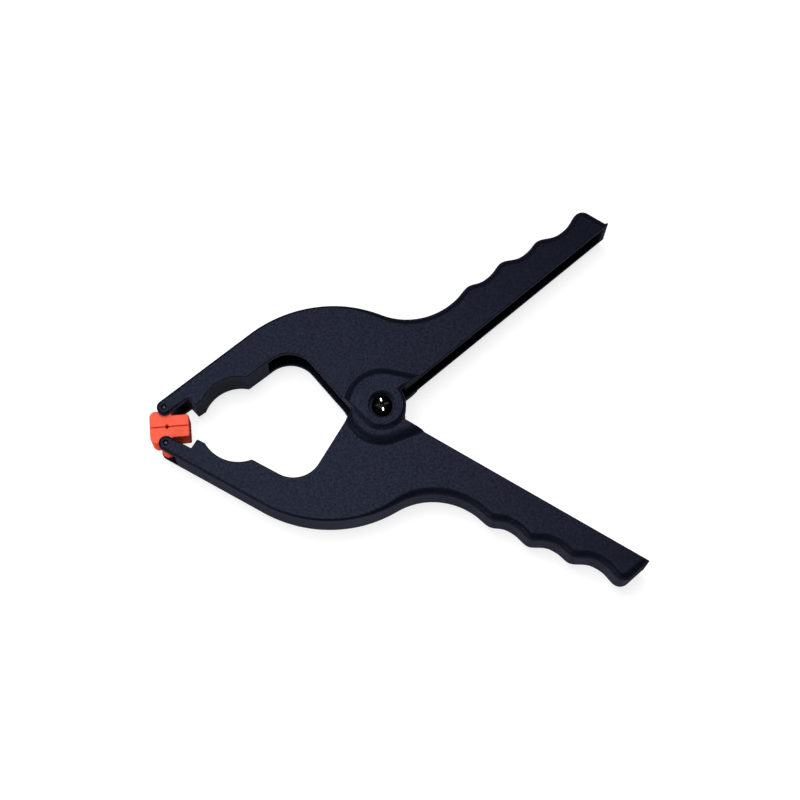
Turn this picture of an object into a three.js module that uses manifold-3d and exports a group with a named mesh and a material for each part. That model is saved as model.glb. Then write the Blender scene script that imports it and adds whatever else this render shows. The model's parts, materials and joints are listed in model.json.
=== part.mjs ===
// A nine inch spring clamp, lying flat with its jaws closed: two moulded nylon halves that turn on
// one screw, a torsion spring between them, and a swivelling pad on a pin at the tip of each jaw.
// Millimetres. X runs from the pads to the handle ends, Y from the lower half to the upper one and
// Z through the thickness. A half is drawn about the pivot axis, with its middle plane at Z = 0.
import * as THREE from 'three';
import { mergeVertices } from 'three/addons/utils/BufferGeometryUtils.js';
import Module from 'manifold-3d';

const wasm = await Module();
wasm.setup();

const DEG = Math.PI / 180;

// ---------------------------------------------------------------- walls and clearances
const bodyThickness = 22;      // between the two flat faces of a half
const sideWall = 3;            // the flat walls of the channel
const edgeWall = 3;            // the wall along the back of the jaw and the grip
const endWall = 3;             // closes the channel at the handle end
const jawEdgeRadius = 1.2;     // rounding along the back of the jaw
const gripEdgeRadius = 3.7;      // rounding along the grip and the handle end
const fitGap = 0.3;            // between pieces that touch
const earGap = 0.4;            // running gap between an outer and an inner ear

// ---------------------------------------------------------------- outline of a half, from the pivot
const pinReach = 103.7;        // pivot to pad pin, along the clamp
const pinHeight = 8.8;         // pad pin above the middle of the clamp
const noseRadius = 3.5;        // round nose of the fork, about the pin
const backRadius = 65.3;       // the round back of the jaw
const backCentreReach = 24;
const backCentreDrop = 12;
const fingerLength = 11.9;     // pin to the notch behind the fork, along the jaw
const toothDrop = 4.15;        // the tooth behind the notch, down and back to its tip
const toothRun = 3.1;
const toothFlat = 4.2;         // the flat behind its tip
const toothFlatRise = 31 * DEG;
const pipeRadius = 18.4;       // round grip for pipes, behind the tooth
const pipeFrom = 154.5 * DEG;  // where it starts and ends on its circle
const pipeTo = 74 * DEG;
const throatRadius = 14;       // the large round at the back of the opening
const throatRun = 20;          // its centre, back and down from the cusp between the rounds
const throatDrop = 3.6;
const channelFront = 9.5;      // the channel opens this far in front of that centre

// ---------------------------------------------------------------- handle, along and above its inner edge
const handleAngle = 35.4 * DEG;
const handleLength = 145.9;
const endLean = 18 * DEG;      // the end wall leans back by this much
const endCornerRadius = 5;
const neckAlong = 60;
const neckHeight = 19;
const neckToCrest = 11.7;      // neck to the first crest of the grip
const crestHeights = [20.5, 19.4, 16.4, 14.6];
const crestPlaces = [0, 0.31, 0.626, 1];
const grooveDepths = [2.2, 2.7, 3.4];          // of each finger groove, below its two crests
const groovePlaces = [0.5, 0.6, 0.54];         // of the way from crest to crest
const crestNarrowing = 1.3;    // 1 for an even wave, more for narrow crests and wide grooves

// ---------------------------------------------------------------- hub
const earRadius = 10.6;        // round ends of the four ears
const outerDomeRadius = 19.3;  // each outer ear swells out of the flat face from here
const outerTopRadius = 14.2;   // and is flat inside this
const outerEarWall = 3;        // thickness of its top, above the inner ear it covers
const innerDomeRadius = 18.2;
const innerTopRadius = 12.5;
const innerRise = 3.4;         // the inner ear stands this far above the flat face
const coveredRadius = 13.9;    // the outer ear is hollow to here, over the inner ear
const spigotRadius = 7.9;      // the outer ear reaches down into the inner one inside this
const spigotDepth = 2.8;
const seatRadius = 9.4;        // the seat of the coil, inside the inner ear
const coilRoom = 9.6;          // between the two seats
const flareFrom = 73 * DEG;    // from here the hub's edge leaves its circle straight to the handle

// ---------------------------------------------------------------- screw, washer and nut, M5
const screwDiameter = 5;
const headDiameter = 9.6;
const headHeight = 2.6;
const headProfile = [[1, 0], [1, 0.45], [0.93, 0.72], [0.72, 0.93], [0.4, 1]];  // shares of both
const screwLead = 0.6;         // chamfer at its tip
const crossLength = 5.4;       // cross recess in the head
const crossWidth = 1.1;
const crossDepth = 1.7;
const crossTaper = 0.45;       // its length at the bottom, as a share of that at the top
const washerDiameter = 10;
const washerThickness = 1;
const nutAcrossFlats = 8;
const nutHeight = 4;
const nutChamferAngle = 30 * DEG;
const washerPlay = 1.3;        // round the washer in its counterbore
const headSink = 0.2;          // head and nut below the face of the ear

// ---------------------------------------------------------------- torsion spring
const wireDiameter = 2.4;
const coilRadius = 7;          // to the middle of the wire
const turnGap = 0.45;          // least air between two turns
const coilPlay = 0.8;          // between the coil and the collars inside it
const legShort = 3;            // a leg bears on its grip this far before the neck

// ---------------------------------------------------------------- fork, pads and pins
const forkEar = 3.6;           // thickness of each fork ear
const slotBack = 6.6;          // pin to the back of the slot, on the outside of the jaw
const pinDiameter = 2.5;
const pinChamfer = 0.3;
const padFront = 7.9;          // pin to the front and back of the pad
const padBack = 10.6;
const padBackHeight = 5.3;
const padFrontHeight = 7.8;
const padLugRadius = 3.1;
const padLugFrom = -20 * DEG;  // where the round lug rises from the block and comes down again
const padLugTo = 200 * DEG;
const padBackRound = 0.8;
const padFrontRound = 2.2;
const padGroove = 0.95;        // depth of the V across the gripping face
const padGrooveReach = 0.75;   // pin to the V
const padEdge = 0.5;           // rounding of the pad's edges

// ---------------------------------------------------------------- heights worked out from them
const face = bodyThickness / 2;
const wallInside = face - sideWall;              // inside of the channel
const innerTop = face + innerRise;
const outerTop = innerTop + earGap + outerEarWall;
const spigotEnd = innerTop + earGap - spigotDepth;
const seatInside = coilRoom / 2;
const boreRadius = screwDiameter / 2 + fitGap;
const headPocketDepth = 2 * fitGap + washerThickness + headHeight + headSink;
const nutPocketDepth = fitGap + nutHeight + headSink;

// ---------------------------------------------------------------- plane geometry
const point = (x, y) => new THREE.Vector2(x, y);
const polar = (centre, radius, angle) => (
  point(centre.x + radius * Math.cos(angle), centre.y + radius * Math.sin(angle)));
const along = point(Math.cos(handleAngle), Math.sin(handleAngle));
const above = point(-along.y, along.x);
const onHandle = (s, h) => point(s * along.x + h * above.x, s * along.y + h * above.y);

const ARC_STEP = 4;            // longest chord on a wide arc
const ARC_TURN = 15 * DEG;     // largest turn between two points of an arc

function arc(centre, radius, from, to) {
  const turn = Math.abs(to - from);
  const count = Math.ceil(Math.max(turn / ARC_TURN, turn * radius / ARC_STEP));
  return Array.from({ length: count + 1 }, (_, i) => (
    polar(centre, radius, from + (to - from) * i / count)));
}

// A half wave from one level point to the next, without its first point.
const WAVE_STEPS = 5;

function wave(from, to) {
  const low = Math.min(from[1], to[1]);
  const high = Math.max(from[1], to[1]);
  return Array.from({ length: WAVE_STEPS }, (_, i) => {
    const t = (i + 1) / WAVE_STEPS;
    const fromLow = from[1] < to[1] ? t : 1 - t;
    const rise = (1 - Math.cos(Math.PI * fromLow ** crestNarrowing)) / 2;
    return onHandle(from[0] + (to[0] - from[0]) * t, low + (high - low) * rise);
  });
}

// ---------------------------------------------------------------- the outline of the upper half
const unit = (angle) => point(Math.cos(angle), Math.sin(angle));
const offset = (start, way, distance) => start.clone().addScaledVector(way, distance);

const pin = point(-pinReach, pinHeight);
const backCentre = point(-backCentreReach, -backCentreDrop);
const toBack = backCentre.clone().sub(pin);
const backLine = toBack.angle() + Math.asin((backRadius - noseRadius) / toBack.length());
const fingerAngle = backLine - 2 * Math.PI;       // the straight back of the jaw, above the X axis
const finger = unit(fingerAngle);
const fingerOut = point(-finger.y, finger.x);

// The neck's round touches the back of the jaw and runs level into the grip.
const neck = onHandle(neckAlong, neckHeight);
const toNeck = neck.clone().sub(backCentre);
const neckRadius = (toNeck.lengthSq() - backRadius ** 2) / (2 * (backRadius - toNeck.dot(above)));
const neckCentre = offset(neck, above, neckRadius);
const neckJoin = neckCentre.clone().sub(backCentre).angle();

// The rounded corner that the last crest runs into, at the leaning end.
const endCorner = onHandle(handleLength, 0);
const cornerHeight = crestHeights[crestHeights.length - 1] - endCornerRadius;
const cornerAlong = handleLength
  - (endCornerRadius + cornerHeight * Math.sin(endLean)) / Math.cos(endLean);
const cornerCentre = onHandle(cornerAlong, cornerHeight);
const endFacing = handleAngle + endLean;          // the way the end wall faces

function gripPoints() {
  const start = neckAlong + neckToCrest;
  const span = cornerAlong - start;
  const crests = crestHeights.map((height, i) => [start + span * crestPlaces[i], height]);
  const stations = [[neckAlong, neckHeight], crests[0]];
  grooveDepths.forEach((depth, i) => {
    const [before, after] = [crests[i], crests[i + 1]];
    const groove = before[0] + (after[0] - before[0]) * groovePlaces[i];
    stations.push([groove, (before[1] + after[1]) / 2 - depth], after);
  });
  return stations.slice(1).flatMap((station, i) => wave(stations[i], station));
}

// From the nose, over the back, the neck and the grip, to the inner corner of the handle end.
function outerEdge() {
  return [
    ...arc(pin, noseRadius, fingerAngle + 270 * DEG, fingerAngle + 90 * DEG),
    ...arc(backCentre, backRadius, fingerAngle + 90 * DEG, neckJoin),
    ...arc(neckCentre, neckRadius, neckJoin + Math.PI, handleAngle + 270 * DEG).slice(1),
    ...gripPoints(),
    ...arc(cornerCentre, endCornerRadius, handleAngle + 90 * DEG, endFacing).slice(1),
    endCorner,
  ];
}

// The gripping edge is a chain of corners and rounds that starts at the pin.
const notch = offset(offset(pin, finger, fingerLength), fingerOut, -noseRadius);
const toothTip = point(notch.x + toothRun, notch.y - toothDrop);
const toothHeel = offset(toothTip, unit(toothFlatRise), toothFlat);
const pipeCentre = offset(toothHeel, unit(pipeFrom), -pipeRadius);
const cusp = polar(pipeCentre, pipeRadius, pipeTo);
const throatCentre = point(cusp.x + throatRun, cusp.y - throatDrop);
const throatFacing = throatCentre.angle()
  + Math.acos((earRadius + throatRadius) / throatCentre.length());

// From the handle, round the ear, along the throat and the gripping edge, to the notch.
function innerEdge() {
  const toThroat = throatCentre.clone().sub(cusp);
  const cuspLine = toThroat.angle() + Math.asin(throatRadius / toThroat.length()) + 90 * DEG;
  return [
    ...arc(point(0, 0), earRadius, handleAngle, throatFacing - 2 * Math.PI),
    ...arc(throatCentre, throatRadius, throatFacing - Math.PI, cuspLine - 2 * Math.PI),
    ...arc(pipeCentre, pipeRadius, pipeTo, pipeFrom),
    toothTip,
    notch,
  ];
}

// The inward direction at each point of an open line that has the body on its right.
function inward(line) {
  return line.map((p, i) => {
    const before = line[Math.max(i - 1, 0)];
    const after = line[Math.min(i + 1, line.length - 1)];
    const run = after.clone().sub(before).normalize();
    return point(run.y, -run.x);
  });
}

// 0 at `from` and 1 at `to`, level at both.
const smooth = (x, from, to) => {
  const t = Math.min(Math.max((x - from) / (to - from), 0), 1);
  return t * t * (3 - 2 * t);
};

// The rounding grows from the jaw to the grip beside the pivot.
const edgeRadius = (p) => (
  jawEdgeRadius + (gripEdgeRadius - jawEdgeRadius) * smooth(p.x, -outerDomeRadius, neckCentre.x));

const outer = outerEdge();
const outerInward = inward(outer);
const inner = innerEdge();

// At the inner corner of the end the rounding slides along the handle's inner edge.
const endSlide = along.clone().multiplyScalar(-1 / Math.cos(endLean));

// ---------------------------------------------------------------- solids
// Merges the corners of a closed geometry and hands it to the library that joins and cuts.
function solid(geometry) {
  const bare = new THREE.BufferGeometry();
  bare.setAttribute('position', geometry.getAttribute('position'));
  if (geometry.index) {
    bare.setIndex(geometry.index);
  }
  const merged = mergeVertices(bare, 1e-5);
  const index = merged.index.array;
  const triangles = [];
  for (let i = 0; i < index.length; i += 3) {
    const [a, b, c] = index.slice(i, i + 3);
    if (a !== b && b !== c && c !== a) {
      triangles.push(a, b, c);
    }
  }
  return new wasm.Manifold(new wasm.Mesh({
    numProp: 3,
    vertProperties: new Float32Array(merged.getAttribute('position').array),
    triVerts: new Uint32Array(triangles),
  }));
}

function geometryOf(manifold) {
  const mesh = manifold.getMesh();
  const geometry = new THREE.BufferGeometry();
  geometry.setAttribute('position', new THREE.BufferAttribute(new Float32Array(mesh.vertProperties), 3));
  geometry.setIndex(new THREE.BufferAttribute(new Uint32Array(mesh.triVerts), 1));
  geometry.computeVertexNormals();
  return geometry;
}

// A closed outline between two heights.
function slab(points, low, high) {
  const geometry = new THREE.ExtrudeGeometry(new THREE.Shape(points), {
    depth: high - low,
    bevelEnabled: false,
  });
  return solid(geometry.translate(0, 0, low));
}

// Pairs of radius and height, turned about an upright axis.
function lathe(profile, sides) {
  const ring = profile.map(([radius, height]) => point(radius, height));
  return new THREE.LatheGeometry([...ring, ring[0]], sides).rotateX(90 * DEG);
}

function turned(profile, sides, x = 0, y = 0) {
  return solid(lathe(profile, sides).translate(x, y, 0));
}

function rod(radius, low, high, sides, x = 0, y = 0) {
  return turned([[0, low], [radius, low], [radius, high], [0, high]], sides, x, y);
}

// ---------------------------------------------------------------- the moulded half
const ROUND_STEPS = 3;         // facets over each rounded edge

// The full outline through the whole thickness, with the outer edges rounded over.
function roundedBlank() {
  const ring = [
    ...outer.map((p, i) => ({
      p,
      inward: p === endCorner ? endSlide : outerInward[i],
      radius: edgeRadius(p),
    })),
    ...inner.map((p) => ({ p, inward: point(0, 0), radius: 0 })),
  ];
  const turns = Array.from({ length: ROUND_STEPS + 1 }, (_, i) => 90 * DEG * i / ROUND_STEPS);
  const levels = [
    ...turns.slice().reverse().map((turn) => ({ turn, side: -1 })),
    ...turns.map((turn) => ({ turn, side: 1 })),
  ];
  const positions = [];
  levels.forEach(({ turn, side }) => ring.forEach(({ p, inward: way, radius }) => {
    const shift = radius * (1 - Math.cos(turn));
    const height = side * (face - radius * (1 - Math.sin(turn)));
    positions.push(p.x + way.x * shift, p.y + way.y * shift, height);
  }));
  const count = ring.length;
  const index = [];
  for (let level = 0; level + 1 < levels.length; level += 1) {
    for (let i = 0; i < count; i += 1) {
      const a = level * count + i;
      const b = level * count + (i + 1) % count;
      index.push(a, a + count, b, b, a + count, b + count);
    }
  }
  const top = (levels.length - 1) * count;
  const cap = Array.from({ length: count }, (_, i) => (
    point(positions[3 * (top + i)], positions[3 * (top + i) + 1])));
  THREE.ShapeUtils.triangulateShape(cap, []).forEach(([a, b, c]) => {
    index.push(top + a, top + b, top + c, c, b, a);
  });
  const geometry = new THREE.BufferGeometry();
  geometry.setAttribute('position', new THREE.Float32BufferAttribute(positions, 3));
  geometry.setIndex(index);
  return solid(geometry);
}

// The channel: the outer edge moved in by its wall, closed across the open side well clear of it.
function channel() {
  const clearOf = outerDomeRadius + earRadius;
  const front = throatCentre.x - channelFront;
  const wall = outer
    .map((p, i) => offset(p, outerInward[i], edgeWall))
    .filter((p, i) => p.x > front && i < outer.length - 1);
  const innerBack = backRadius - edgeWall;
  const frontTop = backCentre.y + Math.sqrt(innerBack ** 2 - (front - backCentre.x) ** 2);
  const endWay = unit(endFacing);
  const endUp = point(-endWay.y, endWay.x);
  const endInside = offset(endCorner, endWay, -endWall);
  const kept = wall.filter((p) => p.clone().sub(endInside).dot(endWay) < 0);
  const topAbove = kept[kept.length - 1].clone().sub(endInside).dot(endUp);
  const endTop = offset(endInside, endUp, topAbove);
  const endOutside = offset(endInside, endUp, -clearOf);
  return slab([
    point(front, frontTop), ...kept, endTop, endOutside,
    point(0, -clearOf), point(front, -clearOf),
  ], -wallInside, wallInside);
}

const SIDES_HUB = 64;
const SIDES_BORE = 24;
const SKIN = 0.01;             // a cut starts this far outside the face it opens

// A turned shape of the hub, drawn out towards the handle along two straight tangents.
function hubShape(profile) {
  const geometry = lathe(profile, SIDES_HUB);
  const position = geometry.getAttribute('position');
  for (let i = 0; i < position.count; i += 1) {
    const turn = Math.abs(Math.atan2(position.getY(i), position.getX(i)));
    const stretch = 1 / Math.cos(Math.max(flareFrom - turn, 0));
    position.setX(i, position.getX(i) * stretch);
    position.setY(i, position.getY(i) * stretch);
  }
  return solid(geometry);
}

// The swelling shoulder from one radius and height to another, upright at first and level at last.
const SHOULDER_STEPS = 6;

function shoulder(from, to) {
  return Array.from({ length: SHOULDER_STEPS + 1 }, (_, i) => {
    const turn = 90 * DEG * i / SHOULDER_STEPS;
    return [to[0] + (from[0] - to[0]) * Math.cos(turn), from[1] + (to[1] - from[1]) * Math.sin(turn)];
  });
}

// The raised outer ear, flat on top, and the hollow under it for the inner ear of the other half.
function outerEar(outline) {
  const dome = hubShape([
    [0, wallInside], [outerDomeRadius, wallInside],
    ...shoulder([outerDomeRadius, face], [outerTopRadius, outerTop]), [0, outerTop],
  ]);
  return dome.intersect(slab(outline, wallInside, outerTop));
}

function earHollow() {
  const ceiling = outerTop - outerEarWall;
  return turned([
    [0, 0], [coveredRadius, 0], [coveredRadius, ceiling],
    [spigotRadius, ceiling], [spigotRadius, spigotEnd], [0, spigotEnd],
  ], SIDES_HUB);
}

// The inner ear, with the pocket that the spigot enters, and inside it the coil's seat and collar.
function innerEar(outline) {
  const dome = hubShape([
    [0, -wallInside], [0, -innerTop],
    ...shoulder([innerDomeRadius, -face], [innerTopRadius, -innerTop]).reverse(),
    [innerDomeRadius, -wallInside],
  ]);
  const seat = rod(seatRadius, -face, -seatInside, SIDES_HUB);
  const collar = rod(coilRadius - wireDiameter / 2 - coilPlay, -face, -fitGap, SIDES_BORE * 2);
  const pocket = rod(spigotRadius + earGap, -innerTop - fitGap, earGap - spigotEnd, SIDES_HUB);
  return dome.intersect(slab(outline, -innerTop, -wallInside)).subtract(pocket).add(seat).add(collar);
}

// The slot between the two ears of the fork, where the pad hangs.
function forkSlot() {
  const clearOf = 4 * noseRadius;
  const back = offset(offset(pin, finger, slotBack), fingerOut, noseRadius);
  const tip = offset(pin, finger, -clearOf);
  const width = face - forkEar;
  return slab([
    notch, offset(back, back.clone().sub(notch), 1),
    offset(tip, fingerOut, clearOf), offset(tip, fingerOut, -clearOf),
    point(notch.x - fitGap, notch.y - clearOf),
  ], -width, width);
}

// The pocket that holds the screw head, or the one that holds the nut.
function headPocket() {
  const radius = washerDiameter / 2 + washerPlay;
  return rod(radius, outerTop - headPocketDepth, outerTop + fitGap, SIDES_HUB);
}

function hexagon(acrossFlats) {
  return Array.from({ length: 6 }, (_, i) => (
    polar(point(0, 0), acrossFlats / Math.sqrt(3), (60 * i + 30) * DEG)));
}

function nutPocket() {
  return slab(hexagon(nutAcrossFlats + 2 * fitGap), outerTop - nutPocketDepth, outerTop + fitGap);
}

function half(pocket) {
  const outline = [...outer, ...inner];
  return roundedBlank()
    .subtract(channel())
    .add(outerEar(outline))
    .subtract(earHollow())
    .add(innerEar(outline))
    .subtract(forkSlot())
    .subtract(pocket)
    .subtract(rod(boreRadius, -innerTop, outerTop, SIDES_BORE))
    .subtract(rod(pinDiameter / 2 + fitGap, -face - fitGap, face + fitGap, SIDES_BORE, pin.x, pin.y));
}

// ---------------------------------------------------------------- screw, washer and nut
const washerLow = outerTop - headPocketDepth + fitGap;
const headLow = washerLow + washerThickness + fitGap;
const nutHigh = -(outerTop - nutPocketDepth + fitGap);
const nutLow = nutHigh - nutHeight;

function pivotScrew() {
  const headRadius = headDiameter / 2;
  const shank = screwDiameter / 2;
  const tip = nutLow + fitGap;
  const top = headLow + headHeight;
  const head = headProfile.map(([out, up]) => [headRadius * out, headLow + headHeight * up]);
  const blank = turned([
    [0, tip], [shank - screwLead, tip], [shank, tip + screwLead], [shank, headLow], ...head, [0, top],
  ], SIDES_BORE * 2);
  const wing = (long, wide) => {
    const shape = new THREE.BoxGeometry(long, wide, crossDepth);
    const position = shape.getAttribute('position');
    for (let i = 0; i < position.count; i += 1) {
      if (position.getZ(i) < 0) {
        position.setX(i, position.getX(i) * crossTaper);
      }
    }
    return solid(shape.translate(0, 0, top - crossDepth / 2 + SKIN));
  };
  const recess = wing(crossLength, crossWidth).add(wing(crossLength, crossWidth).rotate([0, 0, 90]));
  return blank.subtract(recess);
}

function pivotWasher() {
  const low = washerLow;
  const high = washerLow + washerThickness;
  return turned([
    [boreRadius, low], [washerDiameter / 2, low], [washerDiameter / 2, high], [boreRadius, high],
  ], SIDES_BORE * 2);
}

function pivotNut() {
  const flat = nutAcrossFlats / 2;
  const tip = nutAcrossFlats / Math.sqrt(3) + SKIN;
  const body = slab(hexagon(nutAcrossFlats), nutLow, nutHigh);
  const rounded = turned([
    [0, nutLow], [flat, nutLow], [tip, nutLow + (tip - flat) * Math.tan(nutChamferAngle)],
    [tip, nutHigh], [0, nutHigh],
  ], SIDES_BORE * 2);
  return body.intersect(rounded).subtract(rod(boreRadius, nutLow - fitGap, nutHigh + fitGap, SIDES_BORE));
}

// ---------------------------------------------------------------- torsion spring
const SPRING_STEPS = 16;       // steps on each turn of the coil
const SPRING_SIDES = 8;

// The leg's end lies just inside the grip wall; the leg leaves the coil as a tangent.
const gripInside = neckHeight - edgeWall - fitGap - wireDiameter / 2;
const legEnd = onHandle(neckAlong - legShort, gripInside);
const legLeaves = legEnd.angle() + Math.acos(coilRadius / legEnd.length());

function springPath() {
  const room = 2 * (seatInside - fitGap) - wireDiameter;
  const part = (2 * Math.PI - 2 * legLeaves) / (2 * Math.PI);
  const whole = Math.max(1, Math.floor(room / (wireDiameter + turnGap) - part));
  const turns = whole + part;
  const steps = Math.round(turns * SPRING_STEPS);
  const path = [new THREE.Vector3(legEnd.x, legEnd.y, room / 2)];
  const start = polar(point(0, 0), coilRadius, legLeaves);
  path.push(new THREE.Vector3((start.x + legEnd.x) / 2, (start.y + legEnd.y) / 2, room / 2));
  for (let i = 0; i <= steps; i += 1) {
    const t = i / steps;
    const p = polar(point(0, 0), coilRadius, legLeaves + 2 * Math.PI * turns * t);
    path.push(new THREE.Vector3(p.x, p.y, room / 2 - room * t));
  }
  path.push(new THREE.Vector3((start.x + legEnd.x) / 2, -(start.y + legEnd.y) / 2, -room / 2));
  path.push(new THREE.Vector3(legEnd.x, -legEnd.y, -room / 2));
  return path;
}

// One unbroken tube along the path, with each ring square to the wire.
function tube(path, radius, sides) {
  const positions = [];
  const index = [];
  path.forEach((p, i) => {
    const before = path[Math.max(i - 1, 0)];
    const after = path[Math.min(i + 1, path.length - 1)];
    const run = after.clone().sub(before).normalize();
    const side = new THREE.Vector3(run.y, -run.x, 0).normalize();
    const up = side.clone().cross(run).normalize();
    for (let k = 0; k < sides; k += 1) {
      const turn = 2 * Math.PI * k / sides;
      const q = p.clone()
        .addScaledVector(side, radius * Math.cos(turn))
        .addScaledVector(up, radius * Math.sin(turn));
      positions.push(q.x, q.y, q.z);
    }
  });
  for (let i = 0; i + 1 < path.length; i += 1) {
    for (let k = 0; k < sides; k += 1) {
      const a = i * sides + k;
      const b = i * sides + (k + 1) % sides;
      index.push(a, a + sides, b, b, a + sides, b + sides);
    }
  }
  const last = (path.length - 1) * sides;
  for (let k = 1; k + 1 < sides; k += 1) {
    index.push(0, k, k + 1, last, last + k + 1, last + k);
  }
  const geometry = new THREE.BufferGeometry();
  geometry.setAttribute('position', new THREE.Float32BufferAttribute(positions, 3));
  geometry.setIndex(index);
  return solid(geometry);
}

// The least air between two stretches of the wire that are at least half a turn apart.
function leastSelfGap(path) {
  const apart = SPRING_STEPS / 2;
  const dense = path.flatMap((p, i) => {
    const next = path[i + 1];
    return next ? [p, p.clone().lerp(next, 0.5)] : [p];
  });
  let least = Infinity;
  dense.forEach((p, i) => {
    for (let k = i + 2 * apart; k < dense.length; k += 1) {
      least = Math.min(least, p.distanceTo(dense[k]));
    }
  });
  return least - wireDiameter;
}

// ---------------------------------------------------------------- pads and pins
// Side view of a pad about its pin, gripping face down; the V runs across the gripping face.
function padOutline() {
  const grip = fitGap / 2 - pinHeight;
  const groove = padGrooveReach;
  const back = point(padBack - padBackRound, grip + padBackHeight - padBackRound);
  const front = point(padFrontRound - padFront, grip + padFrontHeight - padFrontRound);
  return [
    point(-padFront, grip), point(groove - padGroove, grip), point(groove, grip + padGroove),
    point(groove + padGroove, grip), point(padBack, grip),
    ...arc(back, padBackRound, 0, 90 * DEG),
    ...arc(point(0, 0), padLugRadius, padLugFrom, padLugTo),
    ...arc(front, padFrontRound, 90 * DEG, 180 * DEG),
  ];
}

function pad() {
  const width = 2 * (face - forkEar - fitGap);
  const geometry = new THREE.ExtrudeGeometry(new THREE.Shape(padOutline()), {
    depth: width - 2 * padEdge,
    bevelEnabled: true,
    bevelThickness: padEdge,
    bevelSize: padEdge,
    bevelOffset: -padEdge,
    bevelSegments: 2,
  });
  const hole = rod(pinDiameter / 2 + fitGap, -width, width, SIDES_BORE);
  return solid(geometry.translate(0, 0, padEdge - width / 2)).subtract(hole);
}

function padPin() {
  const radius = pinDiameter / 2;
  const end = face - fitGap;
  return turned([
    [0, -end], [radius - pinChamfer, -end], [radius, -end + pinChamfer],
    [radius, end - pinChamfer], [radius - pinChamfer, end], [0, end],
  ], SIDES_BORE);
}

// ---------------------------------------------------------------- materials
const nylon = { color: 0x282b3a, roughness: 0.62, metalness: 0 };
const orangeRubber = { color: 0xee6241, roughness: 0.55, metalness: 0 };
const blackenedSteel = { color: 0x16171a, roughness: 0.35, metalness: 0.9 };
const brightSteel = { color: 0xb8bcc2, roughness: 0.3, metalness: 1 };
const springSteel = { color: 0x5c5f64, roughness: 0.38, metalness: 0.95 };

// ---------------------------------------------------------------- the clamp
const clamp = new THREE.Group();

function place(name, manifold, material, position = [0, 0, 0], turnX = 0) {
  const mesh = new THREE.Mesh(geometryOf(manifold), new THREE.MeshStandardMaterial(material));
  mesh.name = name;
  mesh.position.set(...position);
  mesh.rotation.x = turnX;
  clamp.add(mesh);
}

const springLine = springPath();
console.log(`torsion_spring: least gap to itself ${leastSelfGap(springLine).toFixed(2)} mm`);

// The lower half is turned over about the length of the clamp, so its raised ear is underneath.
place('lower_half', half(nutPocket()), nylon, [0, 0, 0], Math.PI);
place('upper_half', half(headPocket()), nylon);
place('torsion_spring', tube(springLine, wireDiameter / 2, SPRING_SIDES), springSteel);
place('pivot_screw', pivotScrew(), blackenedSteel);
place('pivot_washer', pivotWasher(), blackenedSteel);
place('pivot_nut', pivotNut(), brightSteel);
place('lower_pad', pad(), orangeRubber, [-pinReach, -pinHeight, 0], Math.PI);
place('upper_pad', pad(), orangeRubber, [-pinReach, pinHeight, 0]);
place('lower_pad_pin', padPin(), brightSteel, [-pinReach, -pinHeight, 0]);
place('upper_pad_pin', padPin(), brightSteel, [-pinReach, pinHeight, 0]);

// The clamp lies on its lower raised ear, and the origin is under the middle of its length.
const middle = (endCorner.x - pinReach - padFront) / 2;
clamp.position.set(-middle, 0, outerTop);

export default clamp;
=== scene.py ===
"""A nine inch spring clamp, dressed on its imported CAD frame.

Lengths are in metres in the CAD's own frame: X runs from the pads to the handle ends, Y from the
lower half to the upper one, and Z up along the pivot screw. A half is drawn about the pivot axis
with its middle plane at Z = 0, and is then put in its place.
"""

import json
import math

import bmesh
import bpy
from bpy.props import FloatProperty, FloatVectorProperty, IntProperty, PointerProperty
from mathutils import Matrix, Vector


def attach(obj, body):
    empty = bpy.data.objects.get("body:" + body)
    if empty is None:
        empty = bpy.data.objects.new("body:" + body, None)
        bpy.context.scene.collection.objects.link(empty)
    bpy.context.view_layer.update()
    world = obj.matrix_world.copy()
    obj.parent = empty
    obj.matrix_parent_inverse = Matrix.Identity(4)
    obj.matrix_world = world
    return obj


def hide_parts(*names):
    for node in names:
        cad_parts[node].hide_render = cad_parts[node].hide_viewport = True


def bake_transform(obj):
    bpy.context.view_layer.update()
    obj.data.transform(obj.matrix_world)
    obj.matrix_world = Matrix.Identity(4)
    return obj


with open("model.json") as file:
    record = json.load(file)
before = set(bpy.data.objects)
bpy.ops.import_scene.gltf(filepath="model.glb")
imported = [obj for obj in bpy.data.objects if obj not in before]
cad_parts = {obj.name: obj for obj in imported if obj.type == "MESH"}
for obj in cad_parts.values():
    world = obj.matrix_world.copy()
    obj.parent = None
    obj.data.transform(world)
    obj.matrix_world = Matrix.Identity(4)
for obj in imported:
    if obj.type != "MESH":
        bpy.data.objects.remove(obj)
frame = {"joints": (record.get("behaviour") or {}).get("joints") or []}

bl_info = {
    "name": "Spring Clamp",
    "version": (1, 0, 0),
    "blender": (4, 5, 0),
    "location": "View3D > Sidebar > Spring Clamp",
    "description": "Builds a moulded spring clamp, its hardware and a plain studio round it",
    "category": "Add Mesh",
}

MM = 0.001
DEG = math.pi / 180
JOINTS = {joint["name"]: joint for joint in frame["joints"]}
PIVOT = Vector(JOINTS["jaw_open"]["pos_m"])
UPPER_PIN = Vector(JOINTS["upper_pad_swivel"]["pos_m"])
LOWER_PIN = Vector(JOINTS["lower_pad_swivel"]["pos_m"])


# ---- sizes and colours
def linear(code):
    """The scene-linear red, green and blue of an sRGB hex colour."""
    shares = [int(code[i:i + 2], 16) / 255 for i in (1, 3, 5)]
    return [s / 12.92 if s <= 0.04045 else ((s + 0.055) / 1.055) ** 2.4 for s in shares]


def length(name, description, millimetres):
    """A size that a user may change, given here in millimetres."""
    return FloatProperty(name=name, description=description, default=millimetres * MM,
                         min=0, unit="LENGTH", precision=5)


def colour(name, description, code):
    """A colour that a user may change, given here as sRGB hex."""
    return FloatVectorProperty(name=name, description=description, default=linear(code),
                               size=3, min=0, max=1, subtype="COLOR")


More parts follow.
